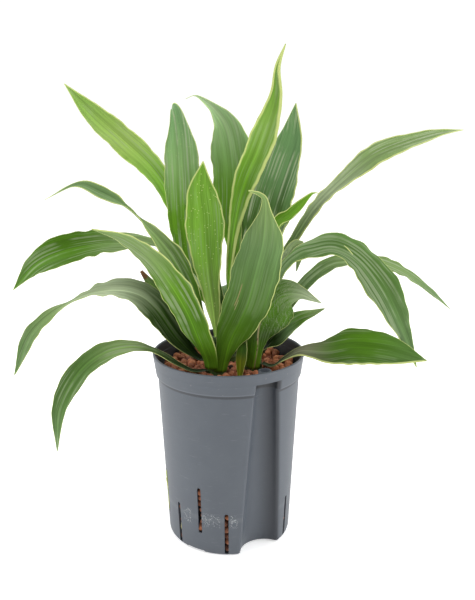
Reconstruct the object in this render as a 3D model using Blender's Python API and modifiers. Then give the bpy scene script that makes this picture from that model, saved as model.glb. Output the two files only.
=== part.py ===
"""A dracaena with three stems, growing in clay granulate in a slotted hydroculture pot.

Blender works in metres, +Z up. The sizes below are millimetres, which MM turns into metres. The origin
is the centre of the pot's flat base, and -Y is the front. Azimuths are degrees from +X towards +Y.
"""
from collections import namedtuple
from math import cos, radians, sin

import bpy
import bmesh
import numpy as np
from mathutils import Matrix, Vector

MM = 0.001
GAP = 0.4

# Pot, a standard 150 mm wide and 190 mm tall culture pot
POT_HEIGHT = 190.0
RIM_RADIUS = 75.0
BAND_BOTTOM = 169.5
BAND_RADIUS = 72.3
NECK_HEIGHT = 167.0
NECK_RADIUS = 70.3
FOOT_RADIUS = 62.4
FOOT_ROUND = 3.0
WALL = 1.5
RIM_WALL = 2.2
RIM_EDGE = 0.8
BAND_EDGE = 0.4
FLOOR = 3.0
CUT_PAST = 1.0
POT_STEPS = 72
HALF_STEP = 180.0 / POT_STEPS

# Groove for the water gauge, a cone that stands upright in the wall, with a collar on its ceiling
GROOVE_AZIMUTH = -58.5
GROOVE_DISTANCE = 70.0
GROOVE_FOOT_RADIUS = 24.0
GROOVE_TOP_RADIUS = 11.0
GROOVE_TOP = 179.0
GROOVE_STEPS = 48
COLLAR_DISTANCE = 66.3
COLLAR_RADIUS = 6.1
COLLAR_BORE = 4.7
COLLAR_TOP = 188.5
COLLAR_STEPS = 24

# Water slots, spaced from the groove, by turns low and high on the wall, and the drain notches
SLOT_WIDTH = 3.8
SLOT_ROUND = 1.85
SLOT_DEPTH = 20.0
FIRST_SLOT = 32.2
SLOT_PITCH = 24.0
SLOTS_A_SIDE = 6
LOW_SLOT = (2.0, 46.0)
HIGH_SLOT = (22.0, 71.0)
NOTCH_ANGLES = (62.5, 118.0, 180.0, -118.0, -62.5)
NOTCH_WIDTH = 21.0
NOTCH_DEPTH = 1.5
NOTCH_START = 30.0

# Clay granulate, whose top is raised into pebbles
GRANULATE_TOP = 171.0
PEBBLE_RISE = 4.5
PEBBLE_PITCH = 9.0
PEBBLE_ROW = 0.87
PEBBLE_STRAY = 0.22
PEBBLE_SPREAD = 0.62
PEBBLE_LEAST = 0.55
PEBBLE_CELLS = 40
PEBBLE_SEED = 7

# Stems, whose feet stand in the granulate, and the cone about each axis that the leaf roots lie on
STEM_AXES = {"a": (-11.0, -20.0), "b": (0.0, 18.0), "c": (24.0, -8.0), "young": (11.5, -33.0)}
STEM_TOPS = {"a": 209.2, "b": 237.2, "c": 221.2}
STEM_FOOT = 80.0
STEM_RADIUS = 9.2
STEM_STEPS = 20
STEM_EDGE = 1.0
NECKING = 8.0
YOUNG_FLARE = 4.0
ROOT_LEVEL = 178.0
ROOT_RADIUS = 10.0
ROOT_TAPER = 0.09
LEAST_ARC_RADIUS = 4.0

# Leaf blades
BLADE_THICKNESS = 0.8
STATION_SPACING = 16.0
ACROSS = 4
LEAF_CUP = 22.0
CLASP_LENGTH = 24.0
MARGIN_WAVE = 1.5
WAVE_LENGTH = 75.0
SIDE_SHIFT = 0.31
LEAF_SHIFT = 0.17
LEAST_WIDTH = 0.9

Leaf = namedtuple("Leaf", "name stem root azimuths arc widths rolls cups start", defaults=((LEAF_CUP,), None))

# A leaf's path starts at its root height on the stem and goes through points of its arc, which are
# (reach from the stem's axis, height), while its azimuth swings. Widths, rolls and cups run from root
# to tip. A roll lifts the edge on the left, looking along the leaf, and a start puts the root off the cone.
LEAVES = (
    # Stem a, in front and to the left
    Leaf("leaf_a1", "a", 177, (205, 208, 205),
         ((25, 179), (41, 189), (63, 205), (88, 213), (114, 209), (135, 193), (152, 163), (156, 122)),
         (8, 8, 9, 18, 20, 12, 1), (-10, -35, -40, -50, -55, -60, -60)),
    Leaf("leaf_a2", "a", 185, (160, 175, 190, 195),
         ((20, 187), (40, 208), (59, 238), (76, 253), (102, 258), (133, 251), (168, 226), (187, 188)),
         (10, 18, 26, 31, 25, 12, 15, 14, 1), (0, -45, -50, -45, -25, 0, -35, -50, -60)),
    Leaf("leaf_a3", "a", 181, (238, 234, 226, 220, 215),
         ((15, 192), (27, 216), (38, 242), (54, 270), (72, 295), (96, 314), (121, 324)),
         (17, 26, 28, 28, 21, 12, 1), (0, 30, 45, 50, 45), start=12.8),
    Leaf("leaf_a4", "a", 200, (186, 190, 190, 182),
         ((14, 219), (25, 256), (37, 283), (52, 305), (79, 334), (104, 349), (124, 355), (155, 341)),
         (10, 16, 20, 22, 17, 9, 14, 8, 1), (0, -45, -60, -60, -40, -8, -50, -25, -10)),
    Leaf("leaf_a5", "a", 194, (140, 150, 165),
         ((28, 205), (48, 225), (64, 248), (76, 270)),
         (8, 13, 15, 12, 3), (0, -40, -60)),
    Leaf("leaf_a6", "a", 210, (150,),
         ((4, 239), (9, 274), (11, 300), (12, 326), (15, 350), (13, 375)),
         (10, 14, 21, 31, 37, 27, 1), (-50, -60, -60), start=1),
    Leaf("leaf_a7", "a", 177, (303, 308, 310, 310, 310, 310, 310, 306, 300),
         ((13, 190), (21, 211), (35, 233), (48, 256), (59, 287), (67, 311), (70, 343), (69, 351),
          (60, 354)),
         (16, 21, 36, 42, 43, 42, 33, 9, 1), (-30, -40, -40, -40, -40, -40, -70)),
    # Stem b, behind
    Leaf("leaf_b1", "b", 204, (145, 150, 152),
         ((38, 279), (65, 328), (90, 362), (126, 390), (162, 416), (200, 449)),
         (10, 14, 18, 20, 29, 24, 1), (-30, -50, -50, -45)),
    Leaf("leaf_b2", "b", 190, (215, 202, 190),
         ((36, 260), (77, 298), (107, 301), (130, 300), (161, 293), (185, 280), (207, 255)),
         (10, 12, 12, 20, 33, 26, 1), (0, -30, -10, -30, -55, -50)),
    Leaf("leaf_b3", "b", 216, (172, 172, 172, 172, 172, 168, 160, 150),
         ((25, 240), (39, 270), (44, 315), (45, 355), (47, 393), (51, 415), (57, 424), (65, 423)),
         (10, 14, 20, 27, 33, 36, 32, 16, 2), (-50, -75, -75)),
    Leaf("leaf_b4", "b", 226, (50, 59, 70, 79, 79, 82, 95, 118, 136, 146, 153),
         ((15, 267), (17, 295), (19, 319), (22, 344), (23, 373), (23, 403), (26, 419), (33, 429),
          (40, 434), (47, 431)),
         (8, 11, 19, 33, 41, 38, 13, 1), (10, 25, 20, 15, 5, -10, -10)),
    Leaf("leaf_b5", "b", 238, (350,),
         ((0, 255), (3, 292), (9, 328), (17, 356), (29, 384), (39, 412), (45, 435), (46, 458), (53, 478)),
         (8, 8, 14, 24, 25, 11, 1), (80, 95, 95, 90, 95, 85), start=0),
    Leaf("leaf_b6", "b", 187, (98,),
         ((28, 208), (58, 224), (92, 228), (126, 216), (156, 190), (174, 160)),
         (12, 14, 22, 28, 24, 14, 1), (0,)),
    Leaf("leaf_b7", "b", 197, (125, 118, 114),
         ((24, 235), (50, 270), (80, 292), (112, 296), (142, 280), (163, 252)),
         (10, 14, 20, 24, 20, 12, 1), (0, 10, 10)),
    Leaf("leaf_b8", "b", 210, (30, 55, 72),
         ((20, 255), (40, 300), (62, 340), (92, 368), (125, 375), (152, 360)),
         (8, 10, 20, 28, 26, 14, 1), (0, -10, -20)),
    # Stem c, to the right
    Leaf("leaf_c1", "c", 222.4, (150, 96, 79, 72, 65, 57, 50, 46),
         ((18, 265), (31, 297), (40, 323), (45, 345), (50, 369), (56, 395), (58, 427)),
         (5, 11, 36, 47, 41, 26, 1), (15, 24, 24, 24, 30), (14,), start=3),
    Leaf("leaf_c2", "c", 200, (30, 28, 26, 24, 22, 20, 18, 18, 17, 16, 16),
         ((11, 232), (20, 261), (31, 282), (42, 299), (65, 331), (95, 358), (125, 379), (158, 391),
          (189, 399), (215, 402)),
         (7, 7, 9, 13, 18, 22, 15, 1), (0, 10, 50, 30, 25, 45, 55, 45, 35)),
    Leaf("leaf_c3", "c", 212, (54, 44, 38, 31, 22, 19, 18, 17, 16),
         ((11, 257), (13, 279), (17, 297), (26, 313), (38, 322), (48, 332), (58, 343), (64, 344)),
         (6, 10, 16, 25, 26, 16, 1), (0, 10, 20), (30, 50, 62, 62, 40)),
    Leaf("leaf_c4", "c", 195, (326, 332, 338, 342, 344, 346, 348, 349, 346, 345, 345),
         ((14, 231), (21, 256), (30, 277), (43, 290), (56, 295), (77, 298), (99, 286), (122, 260),
          (142, 223), (156, 190)),
         (8, 7, 8, 12, 25, 34, 37, 30, 15, 1), (0, 90, 90, 60, 35, 35, 45, 50, 50, 50)),
    Leaf("leaf_c5", "c", 191, (28, 22, 20),
         ((30, 222), (57, 254), (82, 271), (103, 274), (126, 274), (160, 262), (195, 240), (227, 214)),
         (7, 12, 14, 15, 16, 13, 1), (0, 40, 40, 45, 45)),
    Leaf("leaf_c6", "c", 177, (268, 276, 285, 297, 313, 323, 332, 336, 338),
         ((14, 190), (17, 210), (21, 227), (27, 244), (37, 254), (49, 255), (59, 251), (68, 247)),
         (15, 15, 20, 36, 48, 44, 28, 12, 1), (0, 0, -20, -45, -60, -66, -68)),
    Leaf("leaf_c7", "c", 187, (330, 333, 336, 340, 345, 348),
         ((12, 193), (18, 202), (26, 211), (34, 221), (46, 230), (59, 235), (69, 239)),
         (7, 14, 19, 18, 14, 8, 1), (0, 90, 100, 90, 80)),
    Leaf("leaf_c8", "c", 180, (338,),
         ((21, 179), (33, 188), (50, 198), (75, 201), (100, 208), (130, 209), (166, 204)),
         (8, 7, 14, 31, 35, 25, 1), (10, 50, 55, 55, 50)),
    Leaf("leaf_c9", "c", 218, (356, 356, 356, 355, 352),
         ((14, 240), (22, 264), (31, 286), (37, 296), (43, 299), (44, 290), (41, 273)),
         (4, 5, 8, 11, 10, 8, 1), (0, 90, 90)),
    Leaf("leaf_c10", "c", 180, (56, 74, 80),
         ((24, 220), (46, 248), (74, 264), (106, 264), (140, 242), (168, 206)),
         (8, 12, 22, 28, 24, 14, 1), (0, -10, -10)),
    Leaf("leaf_c11", "c", 196, (100, 96, 92),
         ((24, 212), (54, 244), (88, 262), (122, 258), (150, 236), (166, 204)),
         (8, 12, 22, 26, 22, 12, 1), (0,)),
    # A young leaf that comes up through the granulate
    Leaf("young_leaf", "young", 172.5, (60,),
         ((2, 188), (5, 200), (10, 214)),
         (4, 9, 12, 8, 1), (0,), start=0),
)


def add_collection(name):
    """Link a new collection to the scene."""
    collection = bpy.data.collections.new(name)
    bpy.context.scene.collection.children.link(collection)
    return collection


def add_material(name, colour, roughness, metallic=0.0):
    """A Principled material with one colour."""
    material = bpy.data.materials.new(name)
    material.use_nodes = True
    shader = material.node_tree.nodes["Principled BSDF"]
    shader.inputs["Base Color"].default_value = (*colour, 1.0)
    shader.inputs["Roughness"].default_value = roughness
    shader.inputs["Metallic"].default_value = metallic
    material.diffuse_color = (*colour, 1.0)
    return material


def add_object(name, mesh, collection, material=None):
    """Put a mesh in a collection as a named object, with its material."""
    thing = bpy.data.objects.new(name, mesh)
    collection.objects.link(thing)
    if material:
        mesh.materials.append(material)
    return thing


def new_mesh(name, bm):
    """Turn a bmesh into a mesh and free it."""
    mesh = bpy.data.meshes.new(name)
    bm.to_mesh(mesh)
    bm.free()
    return mesh


def turned(name, profile, steps, collection, material=None):
    """A body turned about +Z from an (r, z) profile that runs down its outer side, in millimetres."""
    bm = bmesh.new()
    points = [bm.verts.new((r * MM, 0.0, z * MM)) for r, z in profile]
    for start, end in zip(points, points[1:]):
        bm.edges.new((start, end))
    thing = add_object(name, new_mesh(name, bm), collection, material)
    screw = thing.modifiers.new("Turn", "SCREW")
    screw.steps = screw.render_steps = steps
    screw.use_merge_vertices = True
    screw.merge_threshold = 0.00001
    screw.use_smooth_shade = True
    return thing


def cone(name, foot, bottom, top, foot_radius, top_radius, steps, collection):
    """An upright closed cone about foot = (x, y), from height bottom to top, in millimetres."""
    bm = bmesh.new()
    bmesh.ops.create_cone(bm, cap_ends=True, segments=steps, radius1=foot_radius * MM,
                          radius2=top_radius * MM, depth=(top - bottom) * MM)
    thing = add_object(name, new_mesh(name, bm), collection)
    thing.location = (foot[0] * MM, foot[1] * MM, (bottom + top) / 2 * MM)
    return thing


def box(name, size, collection):
    """A box with its length along +X, its middle at the origin, in millimetres."""
    bm = bmesh.new()
    bmesh.ops.create_cube(bm, size=MM, matrix=Matrix.Diagonal((*size, 1.0)))
    return add_object(name, new_mesh(name, bm), collection)


def cut(thing, operation, cutter):
    """Add one Boolean with the EXACT solver."""
    boolean = thing.modifiers.new(cutter.name, "BOOLEAN")
    boolean.operation = operation
    boolean.solver = "EXACT"
    boolean.object = cutter
    cutter.hide_render = True
    cutter.display_type = "WIRE"


def polar(distance, azimuth):
    """(x, y) at a distance from the pot's axis."""
    return distance * cos(radians(azimuth)), distance * sin(radians(azimuth))


def cavity_profile(inset):
    """The pot's inside, an (r, z) profile from the rim's centre down to the floor's, inset all round."""
    mouth = RIM_RADIUS - RIM_WALL - inset
    ledge = BAND_RADIUS - WALL - inset
    neck = NECK_RADIUS - WALL - inset
    foot = FOOT_RADIUS - WALL - inset
    return ((0, POT_HEIGHT + CUT_PAST), (mouth, POT_HEIGHT + CUT_PAST), (ledge, BAND_BOTTOM + WALL),
            (neck, NECK_HEIGHT), (foot, FLOOR + FOOT_ROUND), (foot + inset - FOOT_ROUND, FLOOR + inset),
            (0, FLOOR + inset))


def groove_radius(z):
    """The groove's radius at a height."""
    return GROOVE_FOOT_RADIUS + (GROOVE_TOP_RADIUS - GROOVE_FOOT_RADIUS) * z / GROOVE_TOP


def groove_cone(name, grow, cutters):
    """The groove's cone, grown all round by a wall or a gap."""
    foot = polar(GROOVE_DISTANCE, GROOVE_AZIMUTH)
    top = GROOVE_TOP + grow
    low = -CUT_PAST
    wide = groove_radius(low) + grow
    narrow = groove_radius(top) + grow
    return cone(name, foot, low, top, wide, narrow, GROOVE_STEPS, cutters)


def slot_cutter(name, azimuth, heights, cutters):
    """A radial slot through the wall, with a round top."""
    bottom, top = heights
    bm = bmesh.new()
    bmesh.ops.create_cube(bm, size=MM, matrix=Matrix.Diagonal((SLOT_DEPTH, SLOT_WIDTH, top - bottom, 1.0)))
    upper = [edge for edge in bm.edges
             if all(vert.co.z > 0 for vert in edge.verts) and abs(edge.verts[0].co.y - edge.verts[1].co.y) < MM]
    bmesh.ops.bevel(bm, geom=upper, offset=SLOT_ROUND * MM, segments=3, affect="EDGES", profile=0.5)
    slot = add_object(name, new_mesh(name, bm), cutters)
    x, y = polar(FOOT_RADIUS, azimuth)
    slot.location = (x * MM, y * MM, (bottom + top) / 2 * MM)
    slot.rotation_euler.z = radians(azimuth)
    return slot


def slots(cutters):
    """The water slots, which go round from both sides of the groove to one opposite it."""
    angles = [(side * (FIRST_SLOT + SLOT_PITCH * k), k) for side in (-1, 1) for k in range(SLOTS_A_SIDE)]
    angles.append((180.0, SLOTS_A_SIDE))
    for angle, k in angles:
        heights = HIGH_SLOT if k % 2 else LOW_SLOT
        yield slot_cutter(f"slot_{round(angle)}", GROOVE_AZIMUTH + angle, heights, cutters)


def notches(cutters):
    """The drain channels under the base, which open at the wall's foot."""
    length = FOOT_RADIUS + CUT_PAST - NOTCH_START
    for angle in NOTCH_ANGLES:
        azimuth = GROOVE_AZIMUTH + angle
        notch = box(f"notch_{round(angle)}", (length, NOTCH_WIDTH, 2 * NOTCH_DEPTH), cutters)
        x, y = polar(NOTCH_START + length / 2, azimuth)
        notch.location = (x * MM, y * MM, 0)
        notch.rotation_euler.z = radians(azimuth)
        yield notch


def make_pot(parts, cutters):
    """The moulded pot: wall, banded rim, gauge groove with its collar, slots and drain notches."""
    plastic = add_material("blue_grey_plastic", (0.130, 0.155, 0.185), 0.45)
    round_low = FOOT_ROUND * (1 - cos(radians(45)))
    profile = ((0, POT_HEIGHT), (RIM_RADIUS - RIM_EDGE, POT_HEIGHT), (RIM_RADIUS, POT_HEIGHT - RIM_EDGE),
               (BAND_RADIUS, BAND_BOTTOM + BAND_EDGE), (BAND_RADIUS - BAND_EDGE, BAND_BOTTOM),
               (NECK_RADIUS, NECK_HEIGHT), (FOOT_RADIUS, FOOT_ROUND), (FOOT_RADIUS - round_low, round_low),
               (FOOT_RADIUS - FOOT_ROUND, 0), (0, 0))
    pot = turned("pot", profile, POT_STEPS, parts, plastic)
    cavity = turned("cavity", cavity_profile(0), POT_STEPS, cutters)
    cavity.rotation_euler.z = radians(HALF_STEP)
    cut(cavity, "DIFFERENCE", groove_cone("groove_wall", WALL, cutters))
    cut(pot, "DIFFERENCE", groove_cone("groove", 0, cutters))
    cut(pot, "DIFFERENCE", cavity)
    collar_foot = polar(COLLAR_DISTANCE, GROOVE_AZIMUTH)
    collar = cone("collar", collar_foot, GROOVE_TOP + WALL / 2, COLLAR_TOP, COLLAR_RADIUS, COLLAR_RADIUS,
                  COLLAR_STEPS, cutters)
    bore = cone("collar_bore", collar_foot, GROOVE_TOP - CUT_PAST, COLLAR_TOP + CUT_PAST,
                COLLAR_BORE, COLLAR_BORE, COLLAR_STEPS, cutters)
    cut(pot, "UNION", collar)
    cut(pot, "DIFFERENCE", bore)
    for cutter in (*slots(cutters), *notches(cutters)):
        cut(pot, "DIFFERENCE", cutter)
    return pot


def pebble_tops():
    """Centres and heights of the pebbles, on a loose honeycomb."""
    draw = np.random.default_rng(PEBBLE_SEED)
    half = int(RIM_RADIUS / PEBBLE_PITCH) + 1
    rows = [((column + 0.5 * (row % 2)) * PEBBLE_PITCH, row * PEBBLE_PITCH * PEBBLE_ROW)
            for row in range(-half, half + 1) for column in range(-half, half + 1)]
    centres = np.array(rows) + draw.uniform(-PEBBLE_STRAY, PEBBLE_STRAY, (len(rows), 2)) * PEBBLE_PITCH
    return centres, draw.uniform(PEBBLE_LEAST, 1.0, len(rows)) * PEBBLE_RISE


def relief_block(cutters):
    """A block whose top is raised into one dome for each pebble."""
    centres, rises = pebble_tops()
    bm = bmesh.new()
    bmesh.ops.create_grid(bm, x_segments=PEBBLE_CELLS, y_segments=PEBBLE_CELLS, size=RIM_RADIUS * MM)
    for vert in bm.verts:
        far = np.hypot(*(centres - np.array(vert.co.xy) / MM).T) / (PEBBLE_PITCH * PEBBLE_SPREAD)
        rise = np.max(rises * np.sqrt(np.clip(1 - far ** 2, 0, 1)))
        vert.co.z = (GRANULATE_TOP + rise) * MM
    bmesh.ops.triangulate(bm, faces=bm.faces[:])
    rim = [edge for edge in bm.edges if edge.is_boundary]
    walls = bmesh.ops.extrude_edge_only(bm, edges=rim)["geom"]
    for vert in walls:
        if isinstance(vert, bmesh.types.BMVert):
            vert.co.z = -CUT_PAST * MM
    bmesh.ops.contextual_create(bm, geom=[edge for edge in bm.edges if edge.is_boundary])
    bmesh.ops.recalc_face_normals(bm, faces=bm.faces[:])
    return add_object("pebble_relief", new_mesh("pebble_relief", bm), cutters)


def make_granulate(parts, cutters):
    """The clay granulate, one body that fills the pot, with plain holes for the stems."""
    clay = add_material("fired_clay", (0.330, 0.115, 0.065), 0.95)
    granulate = turned("granulate", cavity_profile(GAP), POT_STEPS, parts, clay)
    granulate.rotation_euler.z = radians(HALF_STEP)
    cut(granulate, "DIFFERENCE", groove_cone("groove_clear", WALL + GAP, cutters))
    cut(granulate, "INTERSECT", relief_block(cutters))
    for name in STEM_TOPS:
        radius = STEM_RADIUS + GAP
        hole = cone(f"hole_{name}", STEM_AXES[name], STEM_FOOT - GAP, POT_HEIGHT, radius, radius, STEM_STEPS,
                    cutters)
        cut(granulate, "DIFFERENCE", hole)
    young = next(leaf for leaf in LEAVES if leaf.stem == "young")
    radius = young.widths[0] / 2 + 2 * GAP
    hole = cone("hole_young", STEM_AXES["young"], young.root - GAP, POT_HEIGHT, radius, radius + YOUNG_FLARE,
                STEM_STEPS, cutters)
    cut(granulate, "DIFFERENCE", hole)
    return granulate


def root_radius(z):
    """The cone that the leaf roots lie on, about each stem's axis."""
    return ROOT_RADIUS - ROOT_TAPER * (z - ROOT_LEVEL)


def make_stem(name, parts):
    """A stem from its foot in the granulate to the leaf that grows from its tip."""
    bark = add_material(f"stem_bark_{name}", (0.170, 0.210, 0.075), 0.6)
    clear = GAP + BLADE_THICKNESS / 2
    top = STEM_TOPS[name]
    profile = ((0, top), (root_radius(top) - clear, top), (root_radius(ROOT_LEVEL) - clear, ROOT_LEVEL),
               (STEM_RADIUS, ROOT_LEVEL - NECKING), (STEM_RADIUS, STEM_FOOT + STEM_EDGE),
               (STEM_RADIUS - STEM_EDGE, STEM_FOOT), (0, STEM_FOOT))
    stem = turned(f"stem_{name}", profile, STEM_STEPS, parts, bark)
    stem.location = (STEM_AXES[name][0] * MM, STEM_AXES[name][1] * MM, 0)
    return stem


def along(values, t):
    """A smooth curve through evenly spaced values, read at each t from 0 to 1."""
    values = np.asarray(values, float)
    if len(values) == 1:
        return np.full(len(t), values[0])
    values = np.concatenate(([2 * values[0] - values[1]], values, [2 * values[-1] - values[-2]]))
    place = np.clip(t, 0, 1) * (len(values) - 3)
    i = np.minimum(place.astype(int), len(values) - 4)
    u = place - i
    a, b, c, d = (values[i + k] for k in range(4))
    return (2 * b + (c - a) * u + (2 * a - 5 * b + 4 * c - d) * u ** 2 + (3 * b - a - 3 * c + d) * u ** 3) / 2


def leaf_path(leaf):
    """Points of the midrib at even spacing, with their headings in radians."""
    start = root_radius(leaf.root) if leaf.start is None else leaf.start
    reach, height = np.array(((start, leaf.root), *leaf.arc), float).T
    azimuth = np.interp(np.linspace(0, 1, len(reach)), np.linspace(0, 1, len(leaf.azimuths)), leaf.azimuths)
    heading = np.radians(azimuth)
    x, y = STEM_AXES[leaf.stem]
    knots = np.stack((x + reach * np.cos(heading), y + reach * np.sin(heading), height, heading))
    fine = np.linspace(0, 1, 24 * len(reach))
    curve = np.stack([along(row, fine) for row in knots])
    run = np.concatenate(([0], np.cumsum(np.linalg.norm(np.diff(curve[:3]), axis=0))))
    stations = max(7, round(run[-1] / STATION_SPACING))
    even = np.linspace(0, run[-1], stations)
    return np.stack([np.interp(even, run, row) for row in curve], axis=1), run[-1]


def unit(vectors):
    """Scale each row to length 1."""
    return vectors / np.linalg.norm(vectors, axis=1, keepdims=True)


def leaf_rows(leaf):
    """The blade's middle surface as rows of points across the leaf, in millimetres."""
    path, length = leaf_path(leaf)
    midrib, heading = path[:, :3], path[:, 3]
    t = np.linspace(0, 1, len(midrib))
    ahead = unit(np.gradient(midrib, axis=0))
    side = np.stack((-np.sin(heading), np.cos(heading), 0 * heading), axis=1)
    side = unit(side - np.sum(side * ahead, axis=1, keepdims=True) * ahead)
    upper = np.cross(ahead, side)
    clasp = np.exp(-(t * length / CLASP_LENGTH) ** 2)[:, None]
    roll = (1 - clasp) * np.radians(along(leaf.rolls, t))[:, None]
    side, upper = side * np.cos(roll) + upper * np.sin(roll), upper * np.cos(roll) - side * np.sin(roll)
    half = np.maximum(along(leaf.widths, t), LEAST_WIDTH)[:, None] / 2
    clasp_arc = half[0] / max(root_radius(leaf.root), LEAST_ARC_RADIUS)
    arc = clasp * clasp_arc + (1 - clasp) * np.radians(along(leaf.cups, t))[:, None]
    v = np.linspace(-1, 1, ACROSS + 1)[None]
    sideways = half / arc * np.sin(arc * v)
    raised = half / arc * (1 - np.cos(arc * v))
    beat = 2 * np.pi * (length * t[:, None] / WAVE_LENGTH + SIDE_SHIFT * (v > 0) + LEAF_SHIFT * leaf.root)
    raised += MARGIN_WAVE * np.minimum(half / 10, 1) * np.sin(np.pi * t)[:, None] * v ** 2 * np.sin(beat)
    return midrib[:, None] + side[:, None] * sideways[..., None] + upper[:, None] * raised[..., None]


def make_leaf(leaf, parts):
    """One leaf blade: a grid of triangles along the midrib, thickened alike on both faces."""
    green = add_material(f"{leaf.name}_green", (0.090, 0.250, 0.050), 0.4)
    rows = leaf_rows(leaf) * MM
    bm = bmesh.new()
    verts = [[bm.verts.new(Vector(point)) for point in row] for row in rows]
    for low, high in zip(verts, verts[1:]):
        for k in range(ACROSS):
            corners = (low[k], high[k], high[k + 1], low[k + 1])
            first, second = ((0, 1, 2), (0, 2, 3)) if k < ACROSS / 2 else ((0, 1, 3), (1, 2, 3))
            bm.faces.new([corners[i] for i in first])
            bm.faces.new([corners[i] for i in second])
    blade = add_object(leaf.name, new_mesh(leaf.name, bm), parts, green)
    thicken = blade.modifiers.new("Thickness", "SOLIDIFY")
    thicken.thickness = BLADE_THICKNESS * MM
    thicken.offset = 0.0
    thicken.use_rim = True
    return blade


for old in list(bpy.data.objects):
    bpy.data.objects.remove(old, do_unlink=True)
parts_collection = add_collection("potted_dracaena")
cutter_collection = add_collection("cutters")
make_pot(parts_collection, cutter_collection)
make_granulate(parts_collection, cutter_collection)
for stem_name in STEM_TOPS:
    make_stem(stem_name, parts_collection)
for each_leaf in LEAVES:
    make_leaf(each_leaf, parts_collection)
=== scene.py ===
"""A dracaena with three stems in a slotted hydroculture pot, finished round its CAD frame.

The frame is in metres, +Z up, with the front towards -Y. Sizes here are millimetres, which MM turns into
metres, and the finishes read places in millimetres too. Azimuths are degrees from +X towards +Y.
"""

from collections import namedtuple
from math import acos, atan2, cos, hypot, pi, radians, sin

import bmesh
import bpy
import numpy as np
from mathutils import Matrix, Vector


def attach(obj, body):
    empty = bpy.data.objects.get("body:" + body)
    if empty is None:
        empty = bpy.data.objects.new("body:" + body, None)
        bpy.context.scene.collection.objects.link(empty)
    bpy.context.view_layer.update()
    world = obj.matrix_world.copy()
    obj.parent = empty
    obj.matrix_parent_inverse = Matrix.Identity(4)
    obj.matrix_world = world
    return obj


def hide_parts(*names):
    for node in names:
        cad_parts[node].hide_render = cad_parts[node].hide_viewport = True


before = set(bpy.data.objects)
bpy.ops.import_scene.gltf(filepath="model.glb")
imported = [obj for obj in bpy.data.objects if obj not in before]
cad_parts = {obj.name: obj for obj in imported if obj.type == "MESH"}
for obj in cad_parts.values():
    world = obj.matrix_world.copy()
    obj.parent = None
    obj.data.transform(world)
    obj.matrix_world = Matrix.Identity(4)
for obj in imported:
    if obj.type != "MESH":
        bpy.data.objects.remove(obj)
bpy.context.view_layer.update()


# Pot: one injection moulding in matt blue-grey plastic, with a banded rim, an upright groove for a water
# gauge, a short collar on the groove's ceiling, water slots round the foot and drain notches under it.

MM = 0.001
POT_HEIGHT = 190.0
FOOT_RADIUS = 62.4
FOOT_ROUND = 3.0
NECK = (70.3, 167.0)
BAND_FOOT = (72.3, 169.9)
BAND_STEP = ((70.45, 168.9), (71.5, 169.15), (72.2, 169.4), BAND_FOOT)
RIM = (75.0, 189.2)
RIM_LIP = ((75.0, 189.3), (74.85, 189.7), (74.5, 189.95), (74.1, POT_HEIGHT))
MOUTH = (72.8, 189.4)
MOUTH_LIP = ((73.4, POT_HEIGHT), (73.0, 189.8), MOUTH)
INNER_LEDGE = (70.8, 171.0)
INNER_NECK = (68.8, 167.0)
INNER_FOOT = (60.9, 6.0)
FLOOR = 3.0
WALL = 1.5
GROOVE_AZIMUTH = -58.5
GROOVE_DISTANCE = 70.0
GROOVE_RADII = (24.0, 11.0)
GROOVE_TOP = 179.0
GROOVE_TAPER = (GROOVE_RADII[0] - GROOVE_RADII[1]) / GROOVE_TOP
EDGE_OUTSIDE = 3.0
EDGE_INSIDE = 1.0
WALL_STEPS = 70
CORNER_STEPS = 7
GROOVE_STEPS = 20
COLLAR_DISTANCE = 66.3
COLLAR_RADIUS = 6.1
COLLAR_BORE = 4.7
COLLAR_TOP = 189.5
COLLAR_SIDES = 40
SLOT_WIDTH = 3.8
SLOT_REACH = (FOOT_RADIUS - 10, FOOT_RADIUS + 10)
FIRST_SLOT = 32.2
SLOT_PITCH = 24.0
SLOTS_A_SIDE = 6
SLOT_HEIGHTS = ((2.0, 46.0), (22.0, 71.0))
SLOTS = [(side * (FIRST_SLOT + SLOT_PITCH * k), *SLOT_HEIGHTS[k % 2])
         for side in (-1, 1) for k in range(SLOTS_A_SIDE)] + [(180.0, *SLOT_HEIGHTS[0])]
NOTCH_ANGLES = (62.5, 118.0, 180.0, -118.0, -62.5)
NOTCH_OUTLINE = ((-10.5, -1), (10.5, -1), (10.5, 2.0), (10.0, 2.5), (-10.0, 2.5), (-10.5, 2.0))
NOTCH_REACH = (30, FOOT_RADIUS + 1)
SHARP_ANGLE = 38.0


class Wire:
    """One output of a material's nodes. Arithmetic on it adds Math nodes."""

    def __init__(self, finish, socket):
        self.finish = finish
        self.socket = socket

    def out(self, name):
        """Another output of the same node."""
        return Wire(self.finish, self.socket.node.outputs[name])

    def maths(self, operation, *values):
        return self.finish.node("Math", {"operation": operation}, dict(enumerate(values)))

    def __add__(self, other):
        return self.maths("ADD", self, other)

    def __radd__(self, other):
        return self.maths("ADD", other, self)

    def __sub__(self, other):
        return self.maths("SUBTRACT", self, other)

    def __rsub__(self, other):
        return self.maths("SUBTRACT", other, self)

    def __mul__(self, other):
        return self.maths("MULTIPLY", self, other)

    def __rmul__(self, other):
        return self.maths("MULTIPLY", other, self)

    def __abs__(self):
        return self.maths("ABSOLUTE", self)

    def rise(self, low, high):
        """A smooth step from 0 below low to 1 above high."""
        return self.finish.node("MapRange", {"interpolation_type": "SMOOTHSTEP"},
                                {"Value": self, "From Min": low, "From Max": high})

    def fall(self, low, high):
        """A smooth step from 1 below low to 0 above high."""
        return 1 - self.rise(low, high)

    def near(self, middle, inner, outer):
        """1 within inner of middle, falling to 0 at outer."""
        return abs(self - middle).fall(inner, outer)


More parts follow.
